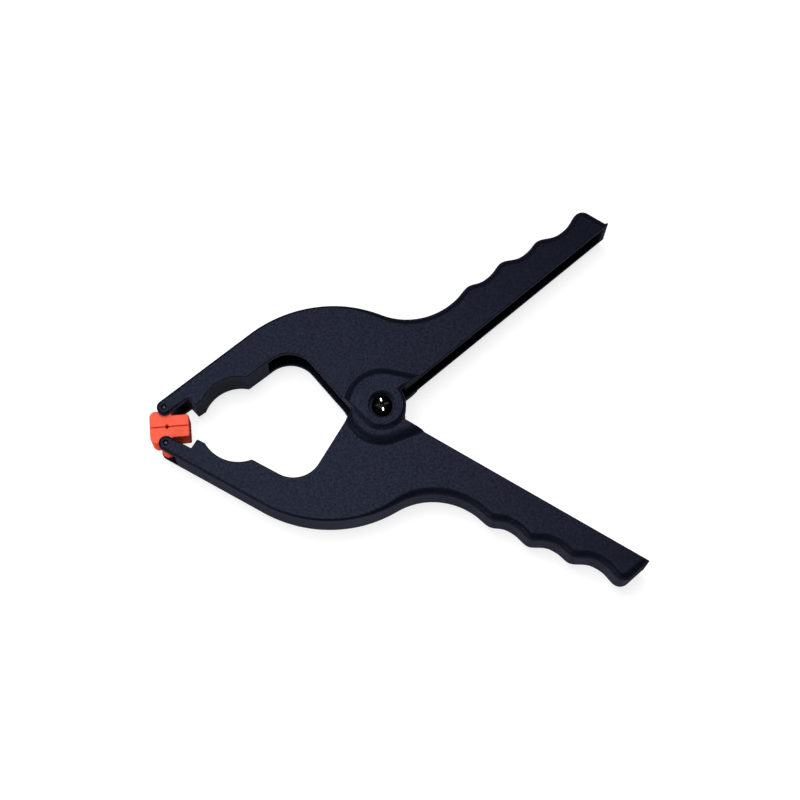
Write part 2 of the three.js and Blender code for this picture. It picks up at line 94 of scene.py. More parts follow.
class ClampMouldings(bpy.types.PropertyGroup):
    """Sizes of the two moulded halves."""

    thickness: length("Thickness", "Between the two flat faces of a half", 22)
    side_wall: length("Side wall", "Thickness of the flat walls of the channel", 3)
    edge_wall: length("Edge wall", "Thickness of the wall along the jaw's back and the grip", 3)
    end_wall: length("End wall", "Thickness of the wall that closes the handle", 3)
    jaw_round: length("Jaw rounding", "Edge rounding along the back of the jaw", 1.2)
    grip_round: length("Grip rounding", "Edge rounding along the finger grooves", 3.7)
    lip_round: length("Lip rounding", "Rounding of the open edges of the channel", 0.4)
    inside_round: length("Inside rounding", "Fillet in the bottom of the channel", 1)
    ear_radius: length("Ear radius", "Round ends of the ears", 11.5)
    outer_dome: length("Outer dome", "Where the outer ear swells out of the face", 19.3)
    outer_flat: length("Outer flat", "Radius of the flat top of the outer ear", 14.4)
    rim: length("Rim", "Rounding of the outer ear's free edge", 1.7)
    ear_wall: length("Outer ear wall", "Thickness of the top of the outer ear", 3)
    inner_dome: length("Inner dome", "Where the inner ear swells out of the face", 18.2)
    inner_flat: length("Inner flat", "Radius of the flat top of the inner ear", 12.5)
    inner_rise: length("Inner rise", "Height of the inner ear above the flat face", 3.4)
    ear_gap: length("Ear gap", "Running gap between the ears of the two halves", 0.4)
    crease: length("Crease", "Fillet where an ear leaves the flat face", 0.5)
    coil_room: length("Coil room", "Room for the coil between the two inner ears", 9.6)


class ClampHardware(bpy.types.PropertyGroup):
    """Sizes of the screw, the nut, the washer, the spring, the pins and the pads."""

    screw: length("Screw diameter", "Outside diameter of the thread", 5)
    pitch: length("Thread pitch", "Distance from thread to thread", 0.8)
    head: length("Head diameter", "Diameter of the pan head", 9.6)
    head_height: length("Head height", "Height of the pan head", 2.6)
    cross: length("Cross recess", "Length of each slot of the cross recess", 6.8)
    washer: length("Washer diameter", "Outside diameter of the washer", 10)
    washer_thick: length("Washer thickness", "Thickness of the washer", 1)
    nut: length("Nut across flats", "Width of the hexagon nut", 8)
    nut_height: length("Nut height", "Height of the hexagon nut", 4)
    wire: length("Wire diameter", "Thickness of the spring wire", 2.4)
    coil: length("Coil radius", "Pivot axis to the middle of the wire", 7)
    pin: length("Pin diameter", "Diameter of the pad pins", 2.5)
    pad_edge: length("Pad edge", "Rounding of the pad's edges", 0.5)


class ClampFinish(bpy.types.PropertyGroup):
    """Colours and surface of each material."""

    nylon: colour("Nylon", "Glass filled nylon, blue-black", "#0B0D16")
    sheen: colour("Nylon sheen", "Tint of the dull reflections on the nylon", "#C4CEFF")
    pad: colour("Pad", "Soft orange plastic of the pads", "#EA553A")
    oxide: colour("Black oxide", "Blackened steel of the screw and washer", "#101012")
    haze: colour("Haze", "Tint of the moulded grain seen at a slant", "#A6AEDC")
    # Zinc is also the colour painted at the ends of one slot of the screw's recess, as a painted
    # highlight.
    zinc: colour("Zinc", "Bright zinc plate of the nut", "#C6C9CC")
    steel: colour("Steel", "Drawn steel of the pad pins, darkened", "#1A1B1D")
    wire: colour("Spring wire", "Oil tempered spring steel", "#55575A")
    grain: length("Moulded grain", "Size of the grain etched into the mould", 0.55)


class ClampStage(bpy.types.PropertyGroup):
    """The floor, the lamps and the camera."""

    floor: colour("Floor", "Pale studio floor", "#A0A0A0")
    floor_size: FloatProperty(name="Floor size", description="Width of the floor", default=6,
                              min=1, unit="LENGTH")
    key: FloatProperty(name="Key light", description="Power of the soft box above", default=15,
                       min=0, unit="POWER")
    fill: FloatProperty(name="Side light", description="Power of the lamp at the left", default=9,
                        min=0, unit="POWER")
    sky: FloatProperty(name="Sky", description="Strength of the even light all round",
                       default=0.08, min=0)
    lens: FloatProperty(name="Lens", description="Focal length on a 36 mm sensor",
                        default=86.655, min=1, unit="CAMERA")
    points: IntProperty(name="Facets", description="Points on a full round of the small parts",
                        default=96, min=24)


def clamp_groups(context):
    """The mouldings, the hardware, the finish and the stage, as the scene has them."""
    return [getattr(context.scene, name) for name in GROUPS]


# ---- outline of a half, from the pivot
PIN_REACH = 103.7 * MM
PIN_HEIGHT = 8.8 * MM
NOSE_RADIUS = 3.5 * MM
BACK_RADIUS = 65.3 * MM
BACK_CENTRE = Vector((-24, -12)) * MM
FINGER_LENGTH = 11.9 * MM
TOOTH_RUN, TOOTH_DROP = 3.1 * MM, 4.15 * MM
TOOTH_FLAT, TOOTH_FLAT_RISE = 4.2 * MM, 31 * DEG
PIPE_RADIUS, PIPE_FROM, PIPE_TO = 18.4 * MM, 154.5 * DEG, 74 * DEG
THROAT_RADIUS, THROAT_RUN, THROAT_DROP = 14 * MM, 20 * MM, 3.6 * MM
CHANNEL_FRONT = 9.5 * MM       # the channel ends this far in front of the throat's centre
HANDLE_ANGLE = 35.4 * DEG
HANDLE_LENGTH = 145.9 * MM
END_LEAN = 18 * DEG
END_CORNER = 5 * MM
# Level points of the grip, along the handle and above it, from the neck to the end.
GRIP = [(along * MM, above * MM) for along, above in (
    (60, 19), (71.7, 20.5), (81.9, 17.75), (92.1, 19.4), (104.59, 15.2), (112.9, 16.4),
    (126.2, 12.1), (137.52, 14.55))]
CREST_NARROWING = 1.3          # 1 for an even wave, more for narrow crests and wide grooves
FLARE_FROM = 73 * DEG          # nearer the handle than this, the hub's edge runs straight
FORK_EAR = 3.6 * MM            # thickness of each ear of the fork
SLOT_BACK = 6.6 * MM           # the fork's slot ends this far behind the pin
CROSS_TURN = 7 * DEG           # as the screw was left when it was tightened
RIM_FADE = 6 * MM              # the rim's rounding grows over this, up to the ear's round end
CORE = 0.1 * MM                # small radius on which an ear's flat top and underside end
COLLAR_RADIUS, COLLAR_BEVEL = 5 * MM, 0.4 * MM
SEAT_RADIUS = 9.4 * MM         # of the coil, inside the inner ear
COVERED_RADIUS = 14.6 * MM     # the outer ear is hollow to here, over the inner ear
SPIGOT_RADIUS = 7.9 * MM       # the outer ear reaches down into the inner one inside this
SPIGOT_DEPTH = 2.8 * MM
WASHER_PLAY = 1.3 * MM
HEAD_SINK = 0.2 * MM
# Facets round the hub, its hollow, the other rounds, the screw's bore and the pins.
HUB_SIDES, HOLLOW_SIDES, ROUND_SIDES, BORE_SIDES, PIN_SIDES = 192, 128, 96, 64, 48
FIT_GAP = 0.3 * MM
FINE_GAP = 0.12 * MM


def flat(x, y):
    """A point or a way in the plane of the clamp."""
    return Vector((x, y))


def unit(angle):
    """The way that an angle points, of length 1."""
    return flat(math.cos(angle), math.sin(angle))


def angle_of(way):
    """The angle at which a way points."""
    return math.atan2(way.y, way.x)


ALONG = unit(HANDLE_ANGLE)
ABOVE = flat(-ALONG.y, ALONG.x)


def on_handle(along, above):
    """A point by its place along the handle's inner edge and its height above that edge."""
    return ALONG * along + ABOVE * above


def arc(centre, radius, start, end):
    """Points of an arc, close enough that its facets don't show."""
    turn = abs(end - start)
    count = math.ceil(max(turn / (5 * DEG), turn * radius / (1.2 * MM)))
    return [centre + unit(start + (end - start) * i / count) * radius for i in range(count + 1)]


def wave(start, end, steps=14):
    """A half wave from one level point of the grip to the next, without its first point."""
    line = []
    low, high = sorted((start[1], end[1]))
    for i in range(1, steps + 1):
        share = i / steps
        from_low = share if start[1] < end[1] else 1 - share
        rise = (1 - math.cos(math.pi * from_low ** CREST_NARROWING)) / 2
        line.append(on_handle(start[0] + (end[0] - start[0]) * share, low + (high - low) * rise))
    return line


def smooth(x, start, end):
    """0 at start and 1 at end, level at both."""
    share = min(max((x - start) / (end - start), 0), 1)
    return share * share * (3 - 2 * share)


def eased(line, corner, reach, steps=5):
    """The line with a sharp corner replaced by a small curve that starts reach before it."""
    before = [p for p in line[:corner] if (p - line[corner]).length > reach]
    after = [p for p in line[corner + 1:] if (p - line[corner]).length > reach]
    start = line[corner] + (before[-1] - line[corner]).normalized() * reach
    end = line[corner] + (after[0] - line[corner]).normalized() * reach
    curve = []
    for i in range(steps + 1):
        share = i / steps
        curve.append(start * (1 - share) ** 2 + line[corner] * 2 * share * (1 - share)
                     + end * share ** 2)
    return before + curve + after


class Outline:
    """The upper half's outline: its outer edge, then its inner one, clockwise from the fork."""

    def __init__(self, m):
        self.pin = flat(-PIN_REACH, PIN_HEIGHT)
        to_back = BACK_CENTRE - self.pin
        self.finger_angle = angle_of(to_back) + math.asin(
            (BACK_RADIUS - NOSE_RADIUS) / to_back.length)
        self.finger = unit(self.finger_angle)
        self.finger_out = flat(-self.finger.y, self.finger.x)
        self.end_corner = on_handle(HANDLE_LENGTH, 0)
        self.end_facing = HANDLE_ANGLE + END_LEAN
        self.notch = self.pin + self.finger * FINGER_LENGTH - self.finger_out * NOSE_RADIUS
        tooth = self.notch + flat(TOOTH_RUN, -TOOTH_DROP)
        heel = tooth + unit(TOOTH_FLAT_RISE) * TOOTH_FLAT
        self.pipe_centre = heel - unit(PIPE_FROM) * PIPE_RADIUS
        cusp = self.pipe_centre + unit(PIPE_TO) * PIPE_RADIUS
        self.throat_centre = cusp + flat(THROAT_RUN, -THROAT_DROP)
        self.outer = self.outer_edge()
        self.inner = self.inner_edge(m, cusp, tooth)
        self.points = self.outer + self.inner
        self.inward = mitres(self.points)
        grown = [smooth(p.x, -m.outer_dome, self.neck_centre.x) for p in self.outer]
        self.rounding = [m.jaw_round + (m.grip_round - m.jaw_round) * share for share in grown]
        self.rounding += [m.lip_round] * len(self.inner)

    def outer_edge(self):
        """From the nose over the jaw's back and the grip to the leaning end of the handle."""
        finger = self.finger_angle
        neck = on_handle(*GRIP[0])
        to_neck = neck - BACK_CENTRE
        neck_radius = (to_neck.length_squared - BACK_RADIUS ** 2) / (
            2 * (BACK_RADIUS - to_neck.dot(ABOVE)))
        self.neck_centre = neck + ABOVE * neck_radius
        meeting = angle_of(self.neck_centre - BACK_CENTRE)
        corner_height = GRIP[-1][1] - END_CORNER
        corner = on_handle(HANDLE_LENGTH - (END_CORNER + corner_height * math.sin(END_LEAN))
                           / math.cos(END_LEAN), corner_height)
        end_start = corner + unit(self.end_facing) * END_CORNER
        return [
            *arc(self.pin, NOSE_RADIUS, finger + 270 * DEG, finger + 90 * DEG),
            *arc(BACK_CENTRE, BACK_RADIUS, finger + 90 * DEG, meeting),
            *arc(self.neck_centre, neck_radius, meeting + math.pi, HANDLE_ANGLE + 270 * DEG)[1:],
            *(p for pair in zip(GRIP, GRIP[1:]) for p in wave(*pair)),
            *arc(corner, END_CORNER, HANDLE_ANGLE + 90 * DEG, self.end_facing)[1:],
            *(end_start.lerp(self.end_corner, share) for share in (0.3, 0.6, 0.85)),
        ]

    def inner_edge(self, m, cusp, tooth):
        """From the handle's end round the ear, the throat and the pipe jaw back to the nose."""
        throat = self.throat_centre
        facing = angle_of(throat) + math.acos((m.ear_radius + THROAT_RADIUS) / throat.length)
        to_throat = throat - cusp
        cusp_line = angle_of(to_throat) + math.asin(THROAT_RADIUS / to_throat.length) + 90 * DEG
        ear = arc(flat(0, 0), m.ear_radius, HANDLE_ANGLE, facing - 2 * math.pi)
        throat_round = arc(throat, THROAT_RADIUS, facing - math.pi, cusp_line)
        handle = [
            self.end_corner, *(on_handle(m.ear_radius + reach * MM, 0) for reach in (6, 4, 2)),
            *ear, *(ear[-1].lerp(throat_round[0], share) for share in (0.25, 0.5, 0.75))]
        pipe = arc(self.pipe_centre, PIPE_RADIUS, PIPE_TO, PIPE_FROM)
        nose = self.pin - self.finger_out * NOSE_RADIUS
        line = [self.outer[-1], *handle, *throat_round, *pipe, tooth, self.notch, nose]
        reaches = [(self.notch, 0.5), (tooth, 0.6), (pipe[0], 0.8), (self.end_corner, 0.7)]
        for corner, reach in reaches:
            line = eased(line, line.index(corner), reach * MM)
        return line[1:-1]


def mitres(points):
    """At each point of a closed clockwise line, the way in, long enough to keep both edges even."""
    ways = []
    for i, p in enumerate(points):
        before = (p - points[i - 1]).normalized()
        after = (points[(i + 1) % len(points)] - p).normalized()
        first, second = flat(before.y, -before.x), flat(after.y, -after.x)
        ways.append((first + second) / max(1 + first.dot(second), 0.6))
    return ways


# ---- meshes
def mesh_object(name, vertices, faces):
    """A closed shape as an object at the origin, its faces pointing out."""
    mesh = bpy.data.meshes.new(name)
    mesh.from_pydata(vertices, [], faces)
    shape = bmesh.new()
    shape.from_mesh(mesh)
    bmesh.ops.remove_doubles(shape, verts=shape.verts, dist=1e-7)
    bmesh.ops.dissolve_degenerate(shape, edges=shape.edges, dist=1e-7)
    bmesh.ops.recalc_face_normals(shape, faces=shape.faces)
    shape.to_mesh(mesh)
    shape.free()
    made = bpy.data.objects.new(name, mesh)
    bpy.context.scene.collection.objects.link(made)
    return made


def stacked(name, rings):
    """A closed skin over rings of equal count, with a flat cap on the first and the last."""
    count = len(rings[0])
    vertices = [tuple(p) for ring in rings for p in ring]
    faces = [list(range(count)), [len(vertices) - count + i for i in range(count)]]
    for level in range(len(rings) - 1):
        for i in range(count):
            a, b = level * count + i, level * count + (i + 1) % count
            faces.append([a, b, b + count, a + count])
    return mesh_object(name, vertices, faces)


def prism(name, points, low, high, ways=None, rounding=None, both=True, steps=8):
    """An upright prism, its edges rounded by a radius given for each point."""
    turns = [90 * DEG * i / steps for i in range(steps + 1)]
    ends = []
    for level, side, rounded in ((low, 1, rounding and both), (high, -1, rounding)):
        ends.append([rounded_ring(points, ways, rounding, level, side, turn) for turn in turns]
                    if rounded else [[(p.x, p.y, level) for p in points]])
    return stacked(name, ends[0][::-1] + ends[1])


def rounded_ring(points, ways, rounding, level, side, turn):
    """One ring of a rounded edge; turn goes from 0 on the wall to 90 degrees on the flat face."""
    ring = []
    for p, way, radius in zip(points, ways, rounding):
        q = p + way * radius * (1 - math.cos(turn))
        ring.append((q.x, q.y, level + side * radius * (1 - math.sin(turn))))
    return ring


def turned(name, profile, sides, centre=(0, 0), stretch=lambda turn: 1):
    """A closed profile of radius and height, turned about an upright axis."""
    rings = []
    for radius, height in profile:
        ring = []
        for i in range(sides):
            turn = 2 * math.pi * i / sides - math.pi
            reach = radius * stretch(turn)
            ring.append((centre[0] + reach * math.cos(turn), centre[1] + reach * math.sin(turn),
                         height))
        rings.append(ring)
    return stacked(name, rings)


def tube_shape(name, inside, profile, sides):
    """A ring round the pivot axis with a round bore; profile runs up its outside."""
    low, high = profile[0][1], profile[-1][1]
    loop = [(inside, low), *profile, (inside, high)]
    vertices, faces = [], []
    for i in range(sides):
        turn = 2 * math.pi * i / sides
        vertices += [(r * math.cos(turn), r * math.sin(turn), z) for r, z in loop]
    for i in range(sides):
        for k in range(len(loop)):
            a, b = i * len(loop), (i + 1) % sides * len(loop)
            n = (k + 1) % len(loop)
            faces.append([a + k, b + k, b + n, a + n])
    return mesh_object(name, vertices, faces)


def settled(made):
    """The object with its modifiers turned into plain mesh."""
    graph = bpy.context.evaluated_depsgraph_get()
    graph.update()
    mesh = bpy.data.meshes.new_from_object(made.evaluated_get(graph),
                                           preserve_all_data_layers=True, depsgraph=graph)
    old = made.data
    made.modifiers.clear()
    made.data = mesh
    if old.users == 0:
        bpy.data.meshes.remove(old)
    return made


def join(body, tool, operation="DIFFERENCE"):
    """Cuts, adds or keeps the overlap of two solids, and deletes the second."""
    modifier = body.modifiers.new("join", "BOOLEAN")
    modifier.operation = operation
    modifier.solver = "MANIFOLD"
    modifier.object = tool
    settled(body)
    if not body.data.polygons:
        raise RuntimeError(f"{body.name}: {operation.lower()} with {tool.name} left nothing")
    mesh = tool.data
    bpy.data.objects.remove(tool)
    bpy.data.meshes.remove(mesh)
    return body


def finished(made, material, place=(0, 0, 0), turned_over=False, sharp=32):
    """Puts a piece in its place, shades it smooth between sharp edges and gives it its material."""
    if turned_over:
        made.data.transform(Matrix.Rotation(math.pi, 4, "X"))
    made.data.transform(Matrix.Translation(Vector(place)))
    shape = bmesh.new()
    shape.from_mesh(made.data)
    bmesh.ops.remove_doubles(shape, verts=shape.verts, dist=2e-7)
    bmesh.ops.dissolve_degenerate(shape, edges=shape.edges, dist=1e-6)
    for face in shape.faces:
        face.smooth = True
    for edge in shape.edges:
        edge.smooth = len(edge.link_faces) == 2 and edge.calc_face_angle(0) < sharp * DEG
    shape.to_mesh(made.data)
    shape.free()
    weighted = made.modifiers.new("even_normals", "WEIGHTED_NORMAL")
    weighted.keep_sharp = True
    weighted.weight = 80
    settled(made)
    made.data.materials.clear()
    made.data.materials.append(material)
    return made


# ---- the moulded halves
def levels(m):
    """Heights of a half above its middle plane."""
    face = m.thickness / 2
    inner_top = face + m.inner_rise
    ceiling = inner_top + m.ear_gap
    return {
        "face": face,
        "wall": face - m.side_wall,
        "inner_top": inner_top,
        "ceiling": ceiling,
        "spigot": ceiling - SPIGOT_DEPTH,
        "outer_top": ceiling + m.ear_wall,
        "seat": m.coil_room / 2,
    }


def flare(turn):
    """How far the hub's edge is drawn out towards the handle, along straight tangents."""
    return 1 / math.cos(max(FLARE_FROM - abs(turn), 0))


def shoulder(start, end, crease, steps=16):
    """A small fillet out of the flat face, then a swelling curve that ends level at the top."""
    line = [(start[0] + crease * (1 - math.sin(a * DEG)),
             start[1] + crease * (1 - math.cos(a * DEG))) for a in (0, 20, 40, 60, 80)]
    for i in range(steps + 1):
        turn = 90 * DEG * i / steps
        line.append((end[0] + (start[0] - end[0]) * math.cos(turn),
                     start[1] + crease + (end[1] - start[1] - crease) * math.sin(turn)))
    return line


def channel(m, outline, h):
    """The hollow between the walls, open towards the handle's inner edge and the throat."""
    clear_of = m.outer_dome + m.ear_radius
    front = outline.throat_centre.x - CHANNEL_FRONT
    count = len(outline.outer)
    wall = [p + way * m.edge_wall for p, way in zip(outline.outer, outline.inward[:count])]
    end_way = unit(outline.end_facing)
    end_up = flat(-end_way.y, end_way.x)
    end_inside = outline.end_corner - end_way * m.end_wall
    kept = [p for p in wall if p.x > front and (p - end_inside).dot(end_way) < 0]
    inner_back = BACK_RADIUS - m.edge_wall
    front_top = BACK_CENTRE.y + math.sqrt(inner_back ** 2 - (front - BACK_CENTRE.x) ** 2)
    line = [
        flat(front, front_top), *kept, end_inside + end_up * (kept[-1] - end_inside).dot(end_up),
        end_inside - end_up * clear_of, flat(0, -clear_of), flat(front, -clear_of),
    ]
    return prism("channel", line, -h["wall"], h["wall"], mitres(line),
                 [m.inside_round] * len(line), steps=4)


def outer_ear(m, outline, h):
    """The raised outer ear: a flat top with a swelling shoulder."""
    low = h["face"] - m.crease
    dome = turned("dome", [
        (CORE, low), (m.outer_dome + m.crease, low),
        *shoulder((m.outer_dome, h["face"]), (m.outer_flat, h["outer_top"]), m.crease),
        (CORE, h["outer_top"]),
    ], HUB_SIDES, stretch=flare)
    at_rim = [smooth(p.length, m.ear_radius + RIM_FADE, m.ear_radius) for p in outline.points]
    rim = [m.lip_round + (m.rim - m.lip_round) * share for share in at_rim]
    edge = prism("ear_edge", outline.points, low, h["outer_top"], outline.inward, rim, both=False)
    return join(dome, edge, "INTERSECT")


def ear_hollow(h):
    """The room under the outer ear, for the inner ear of the other half."""
    room = turned("hollow", [(COVERED_RADIUS, 0), (COVERED_RADIUS, h["ceiling"])], HOLLOW_SIDES)
    return join(room, tube_shape("round_spigot", CORE / 2, [
        (SPIGOT_RADIUS, h["spigot"]), (SPIGOT_RADIUS, h["ceiling"] + MM)], ROUND_SIDES))


def inner_ear(m, outline, h):
    """The inner ear, with the pocket for the spigot, and the seat and collar of the coil."""
    high = -h["face"] + m.crease
    profile = shoulder((m.inner_dome, h["face"]), (m.inner_flat, h["inner_top"]), m.crease)
    dome = turned("dome", [
        (CORE, -h["inner_top"]), *[(r, -z) for r, z in profile[::-1]],
        (m.inner_dome + m.crease, high), (CORE, high),
    ], HUB_SIDES, stretch=flare)
    lip = [m.lip_round] * len(outline.points)
    edge = prism("ear_edge", outline.points, -h["inner_top"], -h["face"] + 3 * m.crease,
                 outline.inward, lip, steps=5)
    join(dome, edge, "INTERSECT")
    radius = SPIGOT_RADIUS + m.ear_gap
    join(dome, turned("pocket", [(radius, -h["inner_top"] - MM),
                                 (radius, m.ear_gap - h["spigot"])], ROUND_SIDES))
    join(dome, turned("seat", [(SEAT_RADIUS, -h["face"]), (SEAT_RADIUS, -h["seat"])],
                      ROUND_SIDES), "UNION")
    collar = turned("collar", [
        (COLLAR_RADIUS, -h["face"]), (COLLAR_RADIUS, -FIT_GAP - COLLAR_BEVEL),
        (COLLAR_RADIUS - COLLAR_BEVEL, -FIT_GAP)], ROUND_SIDES)
    return join(dome, collar, "UNION")


def fork_slot(outline, h):
    """The slot between the two ears of the fork, where the pad hangs."""
    clear_of = 4 * NOSE_RADIUS
    pin, finger, out = outline.pin, outline.finger, outline.finger_out
    back = pin + finger * SLOT_BACK + out * NOSE_RADIUS
    tip = pin - finger * clear_of
    line = [
        outline.notch, back * 2 - outline.notch, tip + out * clear_of, tip - out * clear_of,
        flat(outline.notch.x - FIT_GAP, outline.notch.y - clear_of),
    ]
    return prism("fork_slot", line, FORK_EAR - h["face"], h["face"] - FORK_EAR)


def hexagon(across_flats):
    """The corners of a hexagon about the pivot axis."""
    return [unit((60 * i + 30) * DEG) * across_flats / math.sqrt(3) for i in range(6)]


def moulded_half(name, m, hardware, nut_side):
    """One half, with the pocket for the nut or the one for the screw head in its raised ear."""
    outline, h = Outline(m), levels(m)
    body = prism(name, outline.points, -h["face"], h["face"], outline.inward, outline.rounding)
    join(body, channel(m, outline, h))
    join(body, outer_ear(m, outline, h), "UNION")
    join(body, ear_hollow(h))
    join(body, inner_ear(m, outline, h), "UNION")
    join(body, fork_slot(outline, h))
    top = h["outer_top"]
    above = top + FIT_GAP
    if nut_side:
        depth = FIT_GAP + hardware.nut_height + HEAD_SINK
        pocket = prism("nut_pocket", hexagon(hardware.nut + 2 * FIT_GAP), top - depth, above)
    else:
        depth = 2 * FIT_GAP + hardware.washer_thick + hardware.head_height + HEAD_SINK
        radius = hardware.washer / 2 + WASHER_PLAY
        edge = m.lip_round
        pocket = turned("counterbore", [
            (radius, top - depth), (radius, top - edge),
            *[(radius + edge * (1 - math.cos(a * DEG)), top - edge * (1 - math.sin(a * DEG)))
              for a in (30, 60, 90)], (radius + edge, above)], ROUND_SIDES)
    join(body, pocket)
    bore = hardware.screw / 2 + FIT_GAP
    join(body, turned("bore", [(bore, -h["inner_top"]), (bore, top)], BORE_SIDES))
    pin_bore = hardware.pin / 2 + FINE_GAP
    beyond = h["face"] + FIT_GAP
    return join(body, turned("pin_bore", [(pin_bore, -beyond), (pin_bore, beyond)], PIN_SIDES,
                             centre=outline.pin))


class CLAMP_OT_halves(bpy.types.Operator):
    """Build the two moulded nylon halves."""

    bl_idname = "clamp.halves"
    bl_label = "Moulded Halves"

    def execute(self, context):
        m, hardware, finish, _ = clamp_groups(context)
        nylon = moulded_nylon(finish)
        for name, node, nut_side in (("nylon_half_lower", "lower_half", True),
                                     ("nylon_half_upper", "upper_half", False)):
            half = moulded_half(name, m, hardware, nut_side)
            finished(half, nylon, PIVOT, turned_over=nut_side)
            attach(half, node)
            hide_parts(node)
        return {"FINISHED"}


# ---- screw, washer and nut
RINGS_PER_PITCH = 8
THREAD_DEPTH, THREAD_FADE = 0.55, 1.5   # in pitches
RIDGE_SLOPE = 2.2              # 2 leaves no flat in the root of the thread, more a wider one
CROSS_DEPTH = 2.2 * MM
PAN_DROP, PAN_CURVE = 0.6, 2.4          # fall of the pan from its middle to its edge, and how late


def stack_heights(m, hardware):
    """Undersides of the washer and the screw head, and both ends of the nut, from the middle."""
    top = levels(m)["outer_top"]
    washer = top - FIT_GAP - hardware.washer_thick - hardware.head_height - HEAD_SINK
    nut_low = -(top - HEAD_SINK)
    return {
        "washer": washer,
        "head": washer + hardware.washer_thick + FIT_GAP,
        "nut_low": nut_low,
        "nut_high": nut_low + hardware.nut_height,
    }


def thread_rings(radius, pitch, low, high, sides):
    """Rings of a thread: the ridge climbs by one pitch in each turn and fades at both ends."""
    depth, fading = THREAD_DEPTH * pitch, THREAD_FADE * pitch
    steps = math.ceil((high - low) / pitch * RINGS_PER_PITCH)
    rings = []
    for level in range(steps + 1):
        z = low + (high - low) * level / steps
        fade = min(smooth(z, low, low + fading), smooth(z, high, high - fading))
        ring = []
        for i in range(sides):
            turn = 2 * math.pi * i / sides
            phase = (z / pitch - i / sides) % 1
            ridge = 1 - min(abs(phase - 0.5) * RIDGE_SLOPE, 1)
            reach = radius - depth * (1 - ridge * fade)
            ring.append((reach * math.cos(turn), reach * math.sin(turn), z))
        rings.append(ring)
    return rings


def cross_recess(length_across, depth, top):
    """The two crossed slots of the recess, with level floors, and the deeper cone in the middle."""
    wings = []
    for quarter in (0, 1):
        rings = []
        # Half length and half width as shares of half the length across, and the height.
        for long, wide, z in ((0.9, 0.15, top - 0.45 * depth), (1.0, 0.17, top),
                              (1.0, 0.17, top + FIT_GAP)):
            x, y = length_across / 2 * long, length_across / 2 * wide
            corner = [(x, -y), (x, y), (-x, y), (-x, -y)]
            rings.append([(-b, a, z) if quarter else (a, b, z) for a, b in corner])
        wings.append(stacked("slot", rings))
    cone = turned("cone", [(0.35 * MM, top - depth), (length_across / 4, top + FIT_GAP)], 32)
    recess = join(join(wings[0], wings[1], "UNION"), cone, "UNION")
    recess.data.transform(Matrix.Rotation(CROSS_TURN, 4, "Z"))
    return recess


class CLAMP_OT_screw(bpy.types.Operator):
    """Build the pan head screw that the halves turn on."""

    bl_idname = "clamp.screw"
    bl_label = "Pivot Screw"

    def execute(self, context):
        m, hardware, finish, stage = clamp_groups(context)
        at, sides = stack_heights(m, hardware), stage.points
        head, shank = hardware.head / 2, hardware.screw / 2
        tip, top = at["nut_low"] + FIT_GAP, at["head"] + hardware.head_height
        rings = thread_rings(shank, hardware.pitch, tip, at["head"] - MM, sides)
        pan = [(shank, at["head"] - 0.6 * MM), (shank, at["head"]), (head - 0.15 * MM, at["head"]),
               (head, at["head"] + 0.15 * MM)]
        for i in range(12):
            out = 1 - i / 12
            pan.append((head * out, top - PAN_DROP * hardware.head_height * out ** PAN_CURVE))
        pan.append((0.02 * MM, top))
        for radius, z in pan:
            rings.append([(radius * math.cos(2 * math.pi * i / sides),
                           radius * math.sin(2 * math.pi * i / sides), z) for i in range(sides)])
        screw = stacked("cross_recess_screw", rings)
        join(screw, cross_recess(hardware.cross, CROSS_DEPTH, top))
        # The screw's cross recess gets painted highlights at the ends of one slot.
        finished(screw, oxide_with_painted_glints(finish, top), PIVOT)
        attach(screw, "lower_half")
        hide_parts("pivot_screw")
        return {"FINISHED"}


class CLAMP_OT_washer(bpy.types.Operator):
    """Build the washer under the screw head."""

    bl_idname = "clamp.washer"
    bl_label = "Washer"

    def execute(self, context):
        m, hardware, finish, stage = clamp_groups(context)
        at = stack_heights(m, hardware)
        radius, low = hardware.washer / 2, at["washer"]
        high, edge = low + hardware.washer_thick, 0.15 * MM
        washer = tube_shape("plain_washer", hardware.screw / 2 + FIT_GAP, [
            (radius - edge, low), (radius, low + edge), (radius, high - edge),
            (radius - edge, high)], stage.points)
        finished(washer, black_oxide(finish), PIVOT)
        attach(washer, "lower_half")
        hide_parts("pivot_washer")
        return {"FINISHED"}


class CLAMP_OT_nut(bpy.types.Operator):
    """Build the hexagon nut in the back ear."""

    bl_idname = "clamp.nut"
    bl_label = "Nut"

    def execute(self, context):
        m, hardware, finish, stage = clamp_groups(context)
        at, sides = stack_heights(m, hardware), stage.points
        low, high = at["nut_low"], at["nut_high"]
        flats, tip = hardware.nut / 2, hardware.nut / math.sqrt(3) + 0.01 * MM
        drop = (tip - flats) * math.tan(30 * DEG)
        nut = prism("hexagon_nut", hexagon(hardware.nut), low, high)
        join(nut, turned("chamfer", [(flats, low), (tip, low + drop), (tip, high - drop),
                                     (flats, high)], sides), "INTERSECT")
        bore = hardware.screw / 2 + FINE_GAP
        sink = bore + 0.35 * MM
        join(nut, stacked("tapping", thread_rings(bore, hardware.pitch, low - 2 * MM, high + 2 * MM,
                                                  sides)))
        join(nut, turned("countersink", [(sink, low - 0.1 * MM), (bore - 0.4 * MM, low + 0.5 * MM)],
                         sides))
        finished(nut, bright_zinc(finish), PIVOT)
        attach(nut, "lower_half")
        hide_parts("pivot_nut")
        return {"FINISHED"}


# ---- torsion spring
LEG_REACH = 57 * MM            # where a leg bears on its grip, along the handle
COIL_GAP = 0.45 * MM           # least air between two turns
WIRE_SIDES = 24
SPRING_SIZES = {"Wire diameter": "Float", "Coil radius": "Float", "Turns": "Float",
                "Start angle": "Float", "Coil height": "Float", "Upper leg": "Vector",
                "Lower leg": "Vector", "Middle": "Vector", "Coil points": "Int",
                "Leg points": "Int"}
